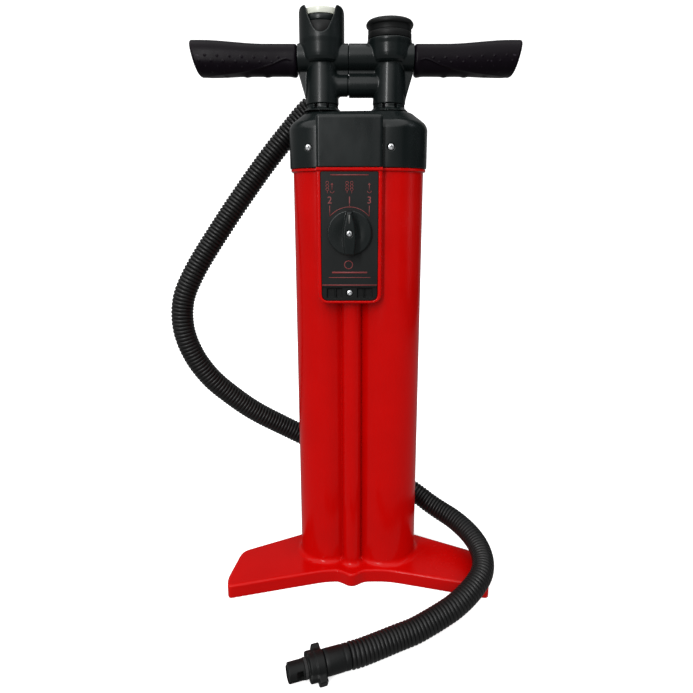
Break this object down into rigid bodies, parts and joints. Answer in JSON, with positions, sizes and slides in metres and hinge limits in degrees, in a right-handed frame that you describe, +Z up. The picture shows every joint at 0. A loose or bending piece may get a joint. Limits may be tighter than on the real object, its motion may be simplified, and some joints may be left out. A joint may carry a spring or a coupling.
{
  "type": "double action hand pump",
  "caption": "Upright floor pump: twin barrels on a winged foot, T handle with pressure gauge, selector knob on the front and a corrugated hose with a bayonet valve adapter.",
  "frame": {"origin": "on the floor, under the base cover, midway between the two rod axes", "axes": "+Z up along the rods, -Y towards the selector panel, +X towards the larger barrel"},
  "size_m": [0.3636, 0.2597, 0.5968],
  "materials": {
    "red_plastic": "glossy moulded",
    "black_gloss": "semi-gloss moulded",
    "black_matte": "matte moulded",
    "label": "satin printed plate",
    "grip": "fine textured with raised dots",
    "hose": "corrugated, matte",
    "rubber": "matte",
    "steel": "plated screws",
    "aluminium": "drawn tube",
    "dial": "printed",
    "needle": "painted",
    "lens": "clear moulded"
  },
  "bodies": {
    "barrels": {"barrel_body": "red_plastic", "base_cover": "black_matte", "base_gasket": "rubber", "base_screw_1": "steel", "base_screw_2": "steel", "base_screw_3": "steel", "base_screw_4": "steel", "foot_valve_left": "rubber", "foot_valve_right": "rubber", "head_gasket": "rubber", "cylinder_head": "black_matte", "rod_seal_left": "rubber", "rod_seal_right": "rubber", "intake_valve_left": "rubber", "intake_valve_right": "rubber", "outlet_valve_left": "rubber", "outlet_valve_right": "rubber", "gland_nut_left": "black_gloss", "gland_nut_right": "black_gloss", "head_cover": "black_gloss", "head_screw_front_left": "steel", "head_screw_front_right": "steel", "head_screw_rear_left": "steel", "head_screw_rear_right": "steel", "selector_cartridge": "black_matte", "selector_plate": "label", "cartridge_screw": "steel", "hose_elbow": "black_gloss", "elbow_oring": "rubber", "outlet_nut": "black_gloss", "hose": "hose", "hose_cuff": "hose"},
    "selector": {"selector_knob": "black_gloss", "selector_rotor": "black_matte", "knob_screw": "steel"},
    "adapter": {"valve_adapter": "black_matte", "adapter_gasket": "rubber"},
    "handle": {"handle_left": "black_gloss", "handle_right": "black_gloss", "grip_left": "grip", "grip_right": "grip", "handle_screw_left": "steel", "handle_screw_right": "steel", "rod_left": "aluminium", "rod_right": "aluminium", "piston_left": "black_matte", "piston_right": "black_matte", "piston_seal_left": "rubber", "piston_seal_right": "rubber", "piston_nut_left": "steel", "piston_nut_right": "steel", "gauge_body": "black_matte", "gauge_bezel": "black_gloss", "gauge_dial": "dial", "gauge_lens": "lens"},
    "needle": {"gauge_needle": "needle"},
    "plug": {"port_plug": "black_matte", "plug_oring": "rubber"}
  },
  "joints": [
    {"name": "handle_stroke", "type": "slide", "parent": "barrels", "child": "handle", "axis": [0, 0, 1], "range_m": [0, 0.38]},
    {"name": "selector_turn", "type": "hinge", "parent": "barrels", "child": "selector", "pos_m": [-0.006, -0.055, 0.387], "axis": [0, -1, 0], "range_deg": [-55, 55]},
    {"name": "adapter_turn", "type": "hinge", "parent": "barrels", "child": "adapter", "pos_m": [-0.02913, -0.16837, 0.012], "axis": [-0.9404, -0.3401, 0], "range_deg": [0, 44]},
    {"name": "needle_turn", "type": "hinge", "parent": "handle", "child": "needle", "pos_m": [-0.033, 0, 0.586], "axis": [0, 0, -1], "range_deg": [0, 270], "stiffness_Nm_per_rad": 0.00001},
    {"name": "plug_lift", "type": "slide", "parent": "handle", "child": "plug", "axis": [0, 0, 1], "range_m": [0, 0.03]}
  ]
}
